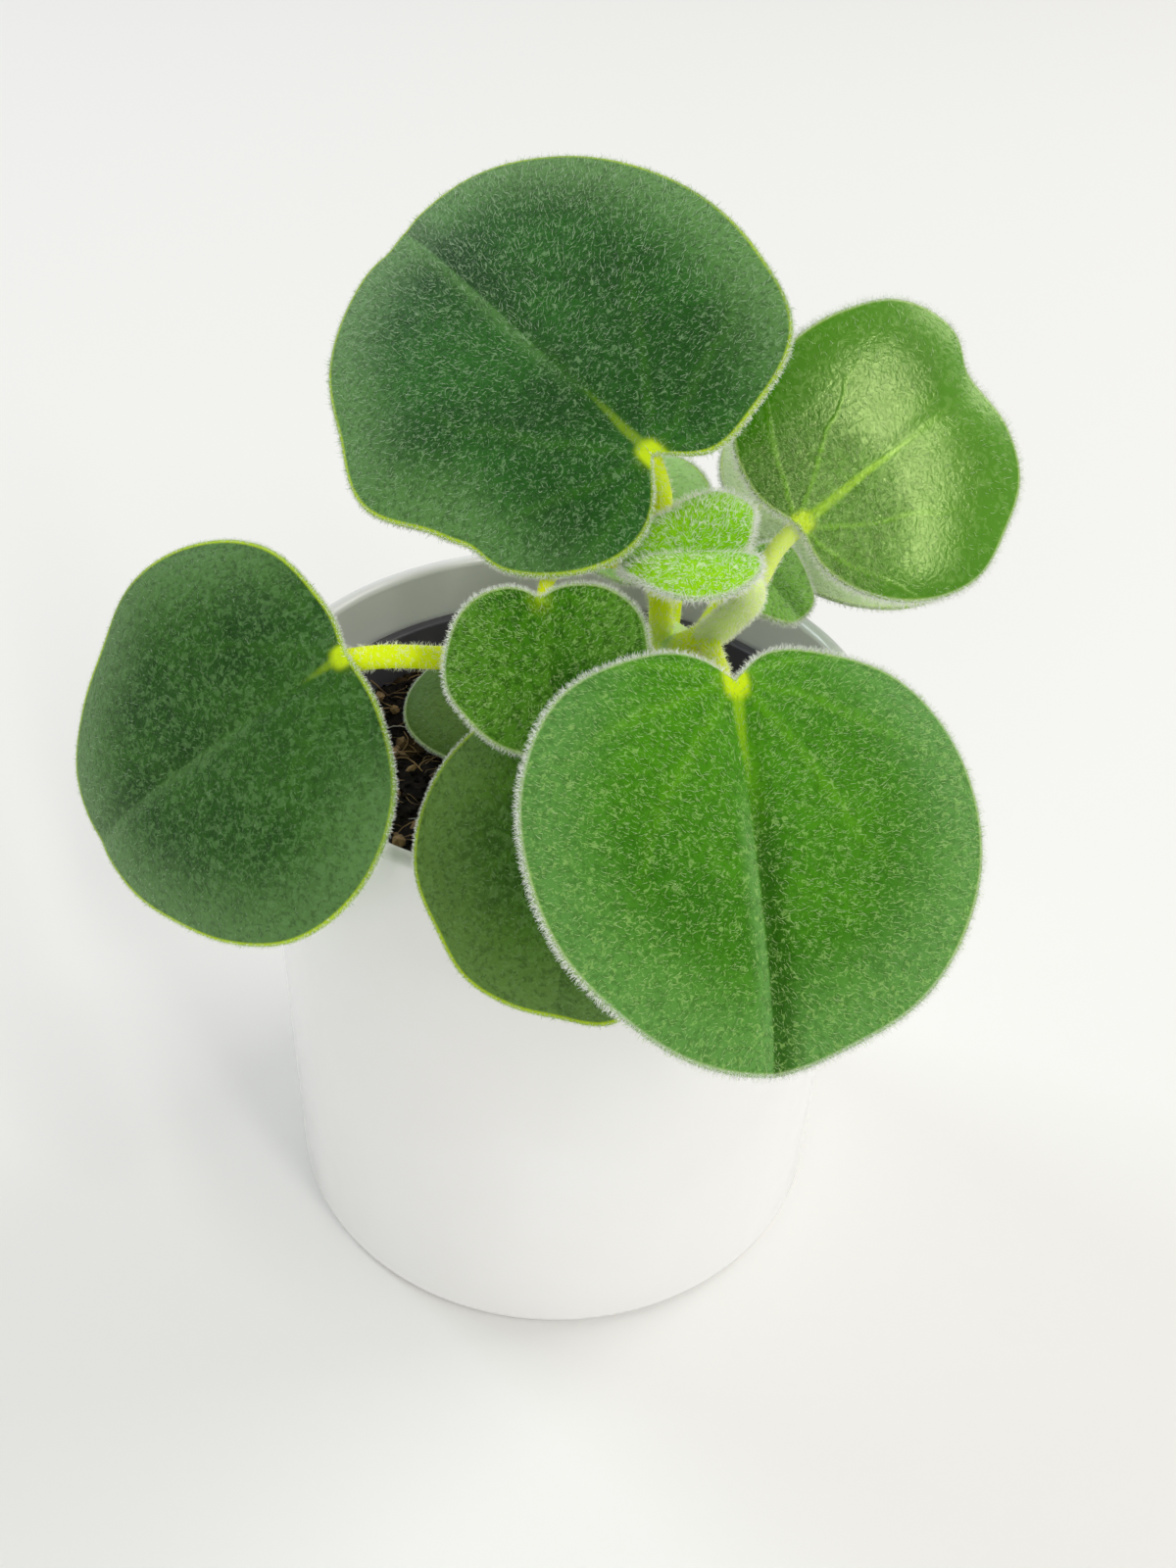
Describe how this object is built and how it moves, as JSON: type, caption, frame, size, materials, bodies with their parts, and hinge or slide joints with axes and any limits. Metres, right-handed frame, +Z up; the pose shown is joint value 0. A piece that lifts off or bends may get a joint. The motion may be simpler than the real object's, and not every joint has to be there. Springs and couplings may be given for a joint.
{
  "type": "potted plant",
  "caption": "Small felted heart-leaved peperomia with fleshy stalks, in a dark nursery pot inside a plain white glazed cylindrical cover pot.",
  "frame": {"origin": "centre of the cover pot's flat base", "axes": "+Z up along the pot's axis, +X to the right and +Y to the back of the plant as pictured"},
  "size_m": [0.1161, 0.1121, 0.1424],
  "materials": {
    "glaze": "smooth white ceramic glaze",
    "nursery_plastic": "dark moulded polypropylene",
    "soil": "damp peat and coir, crumbly",
    "stem": "fleshy lime stalk under short white hairs",
    "leaf_dark": "felted blue-green leaf",
    "leaf_green": "felted fresh green leaf",
    "leaf_young": "densely haired lime young leaf",
    "leaf_pale": "pale grey-green leaf"
  },
  "bodies": {
    "root": {"cover_pot": "glaze", "nursery_pot": "nursery_plastic", "soil": "soil", "stem": "stem", "leaf_top": "leaf_dark", "leaf_right": "leaf_green", "leaf_left": "leaf_dark", "leaf_centre": "leaf_green", "leaf_front": "leaf_green", "leaf_lower": "leaf_dark", "leaf_young": "leaf_young", "leaf_small": "leaf_green", "leaf_back": "leaf_green", "leaf_far": "leaf_pale", "leaf_soil": "leaf_dark"}
  },
  "joints": []
}
